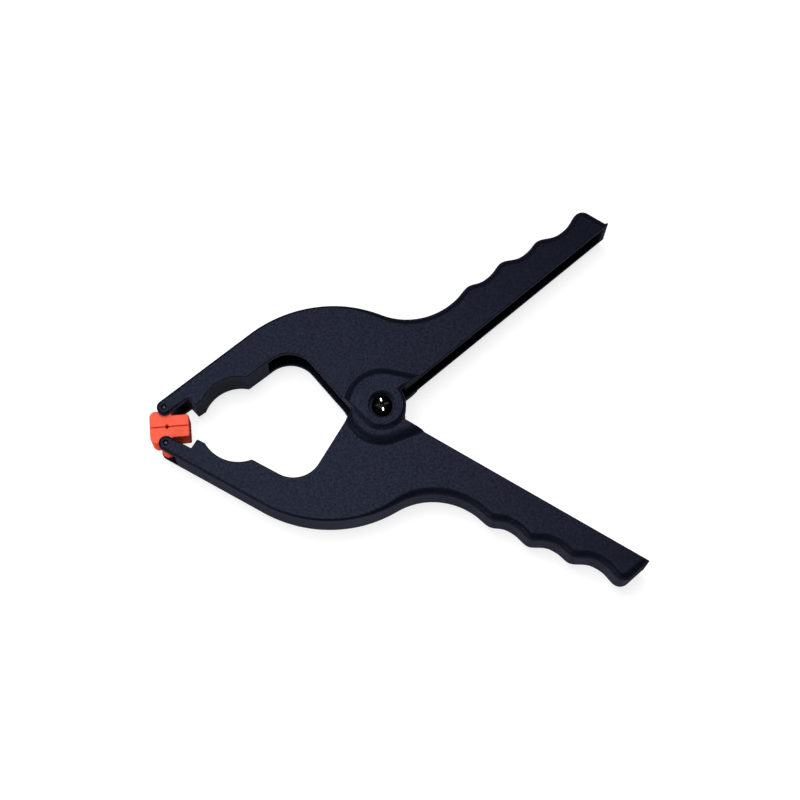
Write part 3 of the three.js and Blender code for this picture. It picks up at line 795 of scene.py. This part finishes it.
# Each row is one sum at a point of the wire: what it gives, the operation and what goes in, by
# the name of a size or of a row above. The points are those of a leg, the coil and the other leg.
SPRING_SUMS = (
    ("along upper leg", "DIVIDE", "point", "Leg points"),
    ("away from coil", "SUBTRACT", 1, "along upper leg"),
    ("past upper leg", "SUBTRACT", "point", "Leg points"),
    ("along coil", "DIVIDE", "past upper leg", "Coil points"),
    ("coil end", "ADD", "Leg points", "Coil points"),
    ("past coil", "SUBTRACT", "point", "coil end"),
    ("along lower leg", "DIVIDE", "past coil", "Leg points"),
    ("whole turn", "MULTIPLY", "Turns", 2 * math.pi),
    ("turn", "MULTIPLY", "along coil", "whole turn"),
    ("angle", "ADD", "Start angle", "turn"),
    ("cosine", "COSINE", "angle"),
    ("sine", "SINE", "angle"),
    ("x", "MULTIPLY", "Coil radius", "cosine"),
    ("y", "MULTIPLY", "Coil radius", "sine"),
    ("above middle", "SUBTRACT", 0.5, "along coil"),
    ("z", "MULTIPLY", "Coil height", "above middle"),
    ("last point", "ADD", "coil end", "Leg points"),
    ("points", "ADD", "last point", 1),
    ("wire radius", "MULTIPLY", "Wire diameter", 0.5),
)


def spring_tree(material):
    """Node tree of a torsion spring: a helix with a straight leg added at each end."""
    tree = bpy.data.node_groups.new("torsion_spring", "GeometryNodeTree")
    tree.interface.new_socket("Geometry", in_out="OUTPUT", socket_type="NodeSocketGeometry")
    for name, kind in SPRING_SIZES.items():
        tree.interface.new_socket(name, in_out="INPUT", socket_type="NodeSocket" + kind)
    at = {size.name: size for size in add_node(tree, "NodeGroupInput").outputs}
    at["point"] = add_node(tree, "GeometryNodeInputIndex")
    for name, operation, *values in SPRING_SUMS:
        at[name] = add_node(tree, "ShaderNodeMath", [at.get(value, value) for value in values],
                            operation=operation, use_clamp=operation == "DIVIDE")

    place = add_node(tree, "ShaderNodeCombineXYZ", (at["x"], at["y"], at["z"]))
    for leg, share in (("Upper leg", "away from coil"), ("Lower leg", "along lower leg")):
        reach = add_node(tree, "ShaderNodeVectorMath", {0: at[leg], "Scale": at[share]},
                         operation="SCALE")
        place = add_node(tree, "ShaderNodeVectorMath", (place, reach), operation="ADD")
    place = add_node(tree, "ShaderNodeVectorMath", (place, at["Middle"]), operation="ADD")

    line = add_node(tree, "GeometryNodeMeshLine", {"Count": at["points"]})
    moved = add_node(tree, "GeometryNodeSetPosition", {"Geometry": line, "Position": place})
    curve = add_node(tree, "GeometryNodeMeshToCurve", {"Mesh": moved})
    ring = add_node(tree, "GeometryNodeCurvePrimitiveCircle",
                    {"Resolution": WIRE_SIDES, "Radius": at["wire radius"]})
    wire = add_node(tree, "GeometryNodeCurveToMesh",
                    {"Curve": curve, "Profile Curve": ring, "Fill Caps": True})
    real = add_node(tree, "GeometryNodeRealizeInstances", {"Geometry": wire})
    coated = add_node(tree, "GeometryNodeSetMaterial", {"Geometry": real, "Material": material})
    add_node(tree, "NodeGroupOutput", (coated,))
    return tree


class CLAMP_OT_spring(bpy.types.Operator):
    """Wind the torsion spring round the pivot, a leg in each handle."""

    bl_idname = "clamp.spring"
    bl_label = "Torsion Spring"

    def execute(self, context):
        m, hardware, finish, _ = clamp_groups(context)
        radius, wire, h = hardware.coil, hardware.wire, levels(m)
        inside = GRIP[0][1] - m.edge_wall - FIT_GAP - wire / 2
        end = on_handle(LEG_REACH, inside)
        start_angle = angle_of(end) + math.acos(radius / end.length)
        start = unit(start_angle) * radius
        room = 2 * (h["seat"] - FIT_GAP) - wire
        part = 1 - start_angle / math.pi
        turns = max(1, math.floor(room / (wire + COIL_GAP) - part)) + part
        material = tempered_wire(finish)
        spring = mesh_object("torsion_spring_wire", [(0, 0, 0)], [])
        tree = spring_tree(material)
        modifier = spring.modifiers.new("winding", "NODES")
        modifier.node_group = tree
        sizes = {
            "Wire diameter": wire, "Coil radius": radius, "Turns": turns,
            "Start angle": start_angle, "Coil height": room, "Upper leg": (*(end - start), 0),
            "Lower leg": (end.x - start.x, start.y - end.y, 0), "Middle": tuple(PIVOT),
            "Coil points": 150, "Leg points": 16,
        }
        for item in tree.interface.items_tree:
            if item.name in sizes:
                modifier[item.identifier] = sizes[item.name]
        settled(spring)
        finished(spring, material, sharp=50)
        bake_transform(spring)
        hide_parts("torsion_spring")
        return {"FINISHED"}


# ---- pads and pins
PAD_FRONT, PAD_BACK = 7.6 * MM, 11.2 * MM
PAD_BACK_HEIGHT, PAD_FRONT_HEIGHT = 5.3 * MM, 7.8 * MM
PAD_LUG = 3.1 * MM
PAD_BACK_ROUND, PAD_FRONT_ROUND = 0.8 * MM, 3.2 * MM
PAD_GROOVE, PAD_GROOVE_REACH = 0.95 * MM, 0.75 * MM


def pad_outline():
    """Side view of a pad about its pin, clockwise, gripping face down with a V across it."""
    grip = FIT_GAP / 2 - PIN_HEIGHT
    back = flat(PAD_BACK - PAD_BACK_ROUND, grip + PAD_BACK_HEIGHT - PAD_BACK_ROUND)
    front = flat(PAD_FRONT_ROUND - PAD_FRONT, grip + PAD_FRONT_HEIGHT - PAD_FRONT_ROUND)
    line = [
        flat(-PAD_FRONT, grip), flat(PAD_GROOVE_REACH - PAD_GROOVE, grip),
        flat(PAD_GROOVE_REACH, grip + PAD_GROOVE), flat(PAD_GROOVE_REACH + PAD_GROOVE, grip),
        flat(PAD_BACK, grip),
        *arc(back, PAD_BACK_ROUND, 0, 90 * DEG),
        flat(PAD_LUG, grip + PAD_BACK_HEIGHT),
        *arc(flat(0, 0), PAD_LUG, 0, 200 * DEG),
        *arc(front, PAD_FRONT_ROUND, 90 * DEG, 180 * DEG),
    ]
    return line[::-1]


class CLAMP_OT_pads(bpy.types.Operator):
    """Build the two orange pads."""

    bl_idname = "clamp.pads"
    bl_label = "Pads"

    def execute(self, context):
        m, hardware, finish, _ = clamp_groups(context)
        line = pad_outline()
        width = m.thickness / 2 - FORK_EAR - FIT_GAP
        material = orange_pad(finish)
        for name, node, pin, turned_over in (("orange_pad_lower", "lower_pad", LOWER_PIN, True),
                                             ("orange_pad_upper", "upper_pad", UPPER_PIN, False)):
            pad = prism(name, line, -width, width, mitres(line), [hardware.pad_edge] * len(line),
                        steps=4)
            bore = hardware.pin / 2 + FINE_GAP
            join(pad, turned("pad_bore", [(bore, -2 * width), (bore, 2 * width)], PIN_SIDES))
            finished(pad, material, pin, turned_over)
            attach(pad, node)
            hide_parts(node)
        return {"FINISHED"}


class CLAMP_OT_pins(bpy.types.Operator):
    """Build the pins that the pads turn on."""

    bl_idname = "clamp.pins"
    bl_label = "Pad Pins"

    def execute(self, context):
        m, hardware, finish, _ = clamp_groups(context)
        radius = hardware.pin / 2
        end = m.thickness / 2 - FIT_GAP
        rise = 0.3 * MM
        cap = [(radius * math.cos(a * DEG), end - rise * (1 - math.sin(a * DEG)))
               for a in (0, 20, 40, 60, 75, 86)]
        profile = [(r, -z) for r, z in cap[::-1]] + cap
        material = drawn_steel(finish)
        for name, body, place in (("steel_pin_lower", "lower_half", LOWER_PIN),
                                  ("steel_pin_upper", "upper_half", UPPER_PIN)):
            pin = turned(name, profile, PIN_SIDES)
            finished(pin, material, place)
            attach(pin, body)
            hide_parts(body.replace("half", "pad_pin"))
        return {"FINISHED"}


# ---- materials
NOISE_SPAN = (0.3, 0.7)        # nearly all of a noise pattern lies between these
GLOSS_SPAN = (0.05, 1.02)      # slant at which the gloss begins to fade, and would be gone
GLOSS_FALL = 3


def add_node(tree, kind, inputs=(), **settings):
    """Adds a node; an input, by name or in order, is a value, an output, or a node's first one."""
    made = tree.nodes.new(kind)
    for key, value in settings.items():
        setattr(made, key, value)
    for key, value in inputs.items() if isinstance(inputs, dict) else enumerate(inputs):
        if isinstance(value, bpy.types.Node):
            value = value.outputs[0]
        if isinstance(value, bpy.types.NodeSocket):
            tree.links.new(value, made.inputs[key])
        else:
            made.inputs[key].default_value = value
    return made


def start_material(name):
    """A new material, its empty tree and the object's coordinates."""
    material = bpy.data.materials.new(name)
    material.use_nodes = True
    tree = material.node_tree
    tree.nodes.clear()
    return material, tree, add_node(tree, "ShaderNodeTexCoord").outputs["Object"]


def show_surface(tree, inputs):
    """Ends a material's tree in a Principled shader with these inputs."""
    surface = add_node(tree, "ShaderNodeBsdfPrincipled", inputs)
    add_node(tree, "ShaderNodeOutputMaterial", {"Surface": surface})


def mottled(tree, pattern, base, dark, light):
    """The base colour, which a pattern takes from a darker to a lighter factor of it."""
    share = add_node(tree, "ShaderNodeMapRange", (pattern, *NOISE_SPAN, 0, 1))
    first, second = [[*(min(c * factor, 1) for c in base), 1] for factor in (dark, light)]
    return add_node(tree, "ShaderNodeMix", {"Factor": share, "A": first, "B": second},
                    data_type="RGBA").outputs["Result"]


def gloss(tree, pattern, low, high):
    """A gloss that fades at a slant, where the grain of a moulded face hides its highlights."""
    slant = add_node(tree, "ShaderNodeLayerWeight", {"Blend": 0.5}).outputs["Facing"]
    clear = add_node(tree, "ShaderNodeMapRange", (slant, *GLOSS_SPAN, 1, 0))
    fade = add_node(tree, "ShaderNodeMath", (clear, GLOSS_FALL), operation="POWER")
    level = add_node(tree, "ShaderNodeMapRange", (pattern, *NOISE_SPAN, low, high))
    return add_node(tree, "ShaderNodeMath", (level, fade), operation="MULTIPLY")


def moulded_nylon(finish):
    """Glass filled nylon, spark-etched mould: near black, its dull sheen mottled by the grain."""
    material, tree, place = start_material("glass_filled_nylon_spark_etched")
    # Real etching is about 0.1 mm across, too fine to show, so it is drawn coarser.
    grain, mottle = [add_node(tree, "ShaderNodeTexNoise", {
        "Vector": place, "Scale": 1 / size, "Detail": 4, "Roughness": roughness})
        for size, roughness in ((finish.grain, 0.65), (2 * finish.grain, 0.7))]

    # The mould parts along the middle of the thickness and leaves a line one can just feel.
    height = add_node(tree, "ShaderNodeSeparateXYZ", (place,)).outputs["Z"]
    off = add_node(tree, "ShaderNodeMath", (height, PIVOT.z), operation="SUBTRACT")
    away = add_node(tree, "ShaderNodeMath", (off,), operation="ABSOLUTE")
    line = add_node(tree, "ShaderNodeMapRange", (away, 0.05 * MM, 0.22 * MM, 1, 0))
    broken = add_node(tree, "ShaderNodeBevel", {"Radius": 0.3 * MM}, samples=6)
    parted = add_node(tree, "ShaderNodeBump", {
        "Height": line, "Strength": 0.5, "Distance": 0.08 * MM, "Normal": broken})
    show_surface(tree, {
        "Base Color": mottled(tree, mottle, finish.nylon, 0.7, 1.4),
        "Roughness": add_node(tree, "ShaderNodeMapRange", (grain, *NOISE_SPAN, 0.28, 0.38)),
        "Specular IOR Level": gloss(tree, mottle, 0.017, 0.078),
        "Specular Tint": (*finish.sheen, 1),
        "IOR": 1.53,
        "Sheen Weight": 0.18,
        "Sheen Roughness": 0.4,
        "Sheen Tint": (*finish.haze, 1),
        "Normal": add_node(tree, "ShaderNodeBump", {
            "Height": grain, "Strength": 0.6, "Distance": 0.04 * MM, "Normal": parted}),
    })
    return material


def orange_pad(finish):
    """Soft thermoplastic from a polished mould: even colour, a satin skin, light just gets in."""
    material, tree, place = start_material("soft_thermoplastic_moulded")
    # A faint cloud in the colour, and a skin drawn coarser than the real one so that it shows.
    cloud, skin = [add_node(tree, "ShaderNodeTexNoise", {
        "Vector": place, "Scale": 1 / size, "Detail": 3}) for size in (4 * MM, 0.35 * MM)]
    show_surface(tree, {
        "Base Color": mottled(tree, cloud, finish.pad, 0.93, 1.05),
        "Roughness": add_node(tree, "ShaderNodeMapRange", (skin, *NOISE_SPAN, 0.45, 0.6)),
        "Specular IOR Level": gloss(tree, cloud, 0.12, 0.18),
        "IOR": 1.5,
        "Subsurface Weight": 0.12,
        "Subsurface Radius": (1.2 * MM, 0.4 * MM, 0.2 * MM),
        "Subsurface Scale": 1,
        "Normal": add_node(tree, "ShaderNodeBump", {
            "Height": skin, "Strength": 0.35, "Distance": 0.03 * MM}),
    })
    return material


def metal(name, base, smoothest, roughest, grain, streak=1, paint_highlight=None):
    """A metal with fine marks, drawn coarser than real ones so that they show.

    A streak above 1 draws them out along the pivot axis.
    """
    material, tree, place = start_material(name)
    drawn = add_node(tree, "ShaderNodeMapping", {"Vector": place, "Scale": (1, 1, 1 / streak)})
    marks = add_node(tree, "ShaderNodeTexNoise", {
        "Vector": drawn, "Scale": 1 / grain, "Detail": 4, "Roughness": 0.6})
    colour = mottled(tree, marks, base, 0.85, 1.12)
    show_surface(tree, {
        # A painted highlight, where one is given, brightens the base colour.
        "Base Color": paint_highlight(tree, place, colour) if paint_highlight else colour,
        "Roughness": add_node(tree, "ShaderNodeMapRange",
                              (marks, *NOISE_SPAN, smoothest, roughest)),
        "Metallic": 1,
        "Normal": add_node(tree, "ShaderNodeBump", {
            "Height": marks, "Strength": 0.3, "Distance": 0.01 * MM}),
    })
    return material


def black_oxide(finish, name="black_oxide_steel_oiled", paint_highlight=None):
    """Oiled black oxide on steel: near black, with sharp small highlights."""
    return metal(name, finish.oxide, 0.22, 0.36, 0.4 * MM, paint_highlight=paint_highlight)


def oxide_with_painted_glints(finish, top):
    """The same on the screw, with the steel painted bright at the ends of one slot: a painted
    highlight for the lamp's glints in the recess.
    """
    def paint_glint(tree, place, colour):
        middle = add_node(tree, "ShaderNodeVectorMath", (place, PIVOT), operation="SUBTRACT")
        turned_back = add_node(tree, "ShaderNodeMapping", {
            "Vector": middle, "Rotation": (0, 0, -CROSS_TURN)})
        x, y, z = add_node(tree, "ShaderNodeSeparateXYZ", (turned_back,)).outputs
        across, along = [add_node(tree, "ShaderNodeMath", (way,), operation="ABSOLUTE")
                         for way in (x, y)]
        # The painted highlight lies inside all of these: a distance, where it fades, and from what
        # to what.
        glint_share = 1
        for limit in ((across, 0.15 * MM, 0.4 * MM, 1, 0), (along, 1.5 * MM, 1.8 * MM, 0, 1),
                      (along, 3.3 * MM, 3.5 * MM, 1, 0),
                      (z, top - 0.9 * MM, top - 0.75 * MM, 1, 0)):
            glint_share = add_node(tree, "ShaderNodeMath",
                            (glint_share, add_node(tree, "ShaderNodeMapRange", limit)),
                            operation="MULTIPLY")
        return add_node(tree, "ShaderNodeMix", {
            "Factor": glint_share, "A": colour, "B": (*finish.zinc, 1)},
            data_type="RGBA").outputs["Result"]

    return black_oxide(finish, "black_oxide_screw_painted_glints", paint_glint)


def bright_zinc(finish):
    """Bright zinc plate: smooth and silvery, a little cloudy."""
    return metal("bright_zinc_plated_steel", finish.zinc, 0.18, 0.34, 0.8 * MM)


def drawn_steel(finish):
    """Drawn steel wire: dark, with fine marks along its length."""
    return metal("drawn_steel_pin", finish.steel, 0.2, 0.34, 0.2 * MM, streak=20)


def tempered_wire(finish):
    """Oil tempered spring wire: dark grey with a thin dull scale."""
    return metal("oil_tempered_spring_wire", finish.wire, 0.3, 0.5, 0.5 * MM)


# ---- stage
CAMERA_PLACE = Vector((-28.083, -245.549, 914.814)) * MM
CAMERA_RIGHT = Vector((0.99626671, -0.08525816, 0.01355339))
CAMERA_UP = Vector((0.07837873, 0.9591116, 0.27195903))
KEY_PLACE, KEY_SIZE = Vector((-0.12, 0.2, 1.2)), 0.65
SIDE_PLACE, SIDE_SIZE = Vector((-0.98, -0.62, 0.34)), 0.8
FLOOR_CLOUD = 0.4              # metres across
FLOOR_LIFT = 0.78              # brings the lit floor up to white


class CLAMP_OT_stage(bpy.types.Operator):
    """Set up the floor, the lamps and the camera."""

    bl_idname = "clamp.stage"
    bl_label = "Studio"

    def execute(self, context):
        scene = context.scene
        stage = scene.clamp_stage
        half = stage.floor_size / 2
        floor = mesh_object("studio_floor", [(-half, -half, 0), (half, -half, 0), (half, half, 0),
                                             (-half, half, 0)], [[0, 1, 2, 3]])
        floor.data.materials.append(floor_paint(stage))
        self.lamp("key_lamp", stage.key, KEY_SIZE, KEY_PLACE)
        self.lamp("side_lamp", stage.fill, SIDE_SIZE, SIDE_PLACE)
        self.sky(scene, stage)
        self.camera(scene, stage)
        scene.view_settings.view_transform = "Standard"
        return {"FINISHED"}

    def lamp(self, name, power, size, place):
        """A square soft box that faces the clamp."""
        light = bpy.data.lights.new(name, "AREA")
        light.energy = power
        light.size = size
        lamp = bpy.data.objects.new(name, light)
        lamp.location = place
        lamp.rotation_mode = "QUATERNION"
        lamp.rotation_quaternion = (-place).to_track_quat("-Z", "Y")
        bpy.context.scene.collection.objects.link(lamp)

    def sky(self, scene, stage):
        """An even white light all round."""
        world = bpy.data.worlds.new("studio_sky")
        world.use_nodes = True
        tree = world.node_tree
        tree.nodes.clear()
        light = add_node(tree, "ShaderNodeBackground", ((1, 1, 1, 1), stage.sky))
        add_node(tree, "ShaderNodeOutputWorld", {"Surface": light})
        scene.world = world

    def camera(self, scene, stage):
        """The camera, where it stood over the clamp for the photograph."""
        data = bpy.data.cameras.new("photo_camera")
        data.lens = stage.lens
        data.sensor_width = 36
        data.clip_start, data.clip_end = 0.01, 20
        camera = bpy.data.objects.new("photo_camera", data)
        back = CAMERA_RIGHT.cross(CAMERA_UP)
        turn = Matrix((CAMERA_RIGHT, CAMERA_UP, back)).transposed().to_4x4()
        camera.matrix_world = Matrix.Translation(CAMERA_PLACE) @ turn
        scene.collection.objects.link(camera)
        scene.camera = camera


def floor_paint(stage):
    """Matt pale floor; the camera and reflections see it lifted to white, with its shadows."""
    material, tree, place = start_material("matt_studio_floor")
    cloud = add_node(tree, "ShaderNodeTexNoise", {"Vector": place, "Scale": 1 / FLOOR_CLOUD})
    ray = add_node(tree, "ShaderNodeLightPath").outputs
    seen = ray["Is Camera Ray"]
    for other in ("Is Glossy Ray", "Is Transmission Ray"):
        seen = add_node(tree, "ShaderNodeMath", (seen, ray[other]), operation="MAXIMUM")
    show_surface(tree, {
        "Base Color": mottled(tree, cloud, stage.floor, 0.99, 1),
        "Roughness": 0.9,
        "Specular IOR Level": 0,
        "Emission Color": (1, 1, 1, 1),
        "Emission Strength": add_node(tree, "ShaderNodeMath", (seen, FLOOR_LIFT),
                                      operation="MULTIPLY"),
    })
    return material


class CLAMP_PT_panel(bpy.types.Panel):
    """Sizes, finishes and build buttons of the spring clamp."""

    bl_label = "Spring Clamp"
    bl_idname = "CLAMP_PT_panel"
    bl_space_type = "VIEW_3D"
    bl_region_type = "UI"
    bl_category = "Spring Clamp"

    def draw(self, context):
        for operator in OPERATORS:
            self.layout.operator(operator.bl_idname)
        for group in clamp_groups(context):
            box = self.layout.box()
            for name in group.__annotations__:
                box.prop(group, name)


GROUPS = {
    "clamp_mouldings": ClampMouldings,
    "clamp_hardware": ClampHardware,
    "clamp_finish": ClampFinish,
    "clamp_stage": ClampStage,
}
OPERATORS = (CLAMP_OT_halves, CLAMP_OT_spring, CLAMP_OT_screw, CLAMP_OT_washer, CLAMP_OT_nut,
             CLAMP_OT_pads, CLAMP_OT_pins, CLAMP_OT_stage)


def register():
    for name, group in GROUPS.items():
        bpy.utils.register_class(group)
        setattr(bpy.types.Scene, name, PointerProperty(type=group))
    for part in (*OPERATORS, CLAMP_PT_panel):
        bpy.utils.register_class(part)


def unregister():
    for part in reversed((*OPERATORS, CLAMP_PT_panel)):
        bpy.utils.unregister_class(part)
    for name, group in GROUPS.items():
        delattr(bpy.types.Scene, name)
        bpy.utils.unregister_class(group)


def main():
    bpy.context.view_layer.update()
    register()
    bpy.ops.clamp.halves()
    bpy.ops.clamp.spring()
    bpy.ops.clamp.screw()
    bpy.ops.clamp.washer()
    bpy.ops.clamp.nut()
    bpy.ops.clamp.pads()
    bpy.ops.clamp.pins()
    bpy.ops.clamp.stage()


if __name__ == "__main__":
    main()
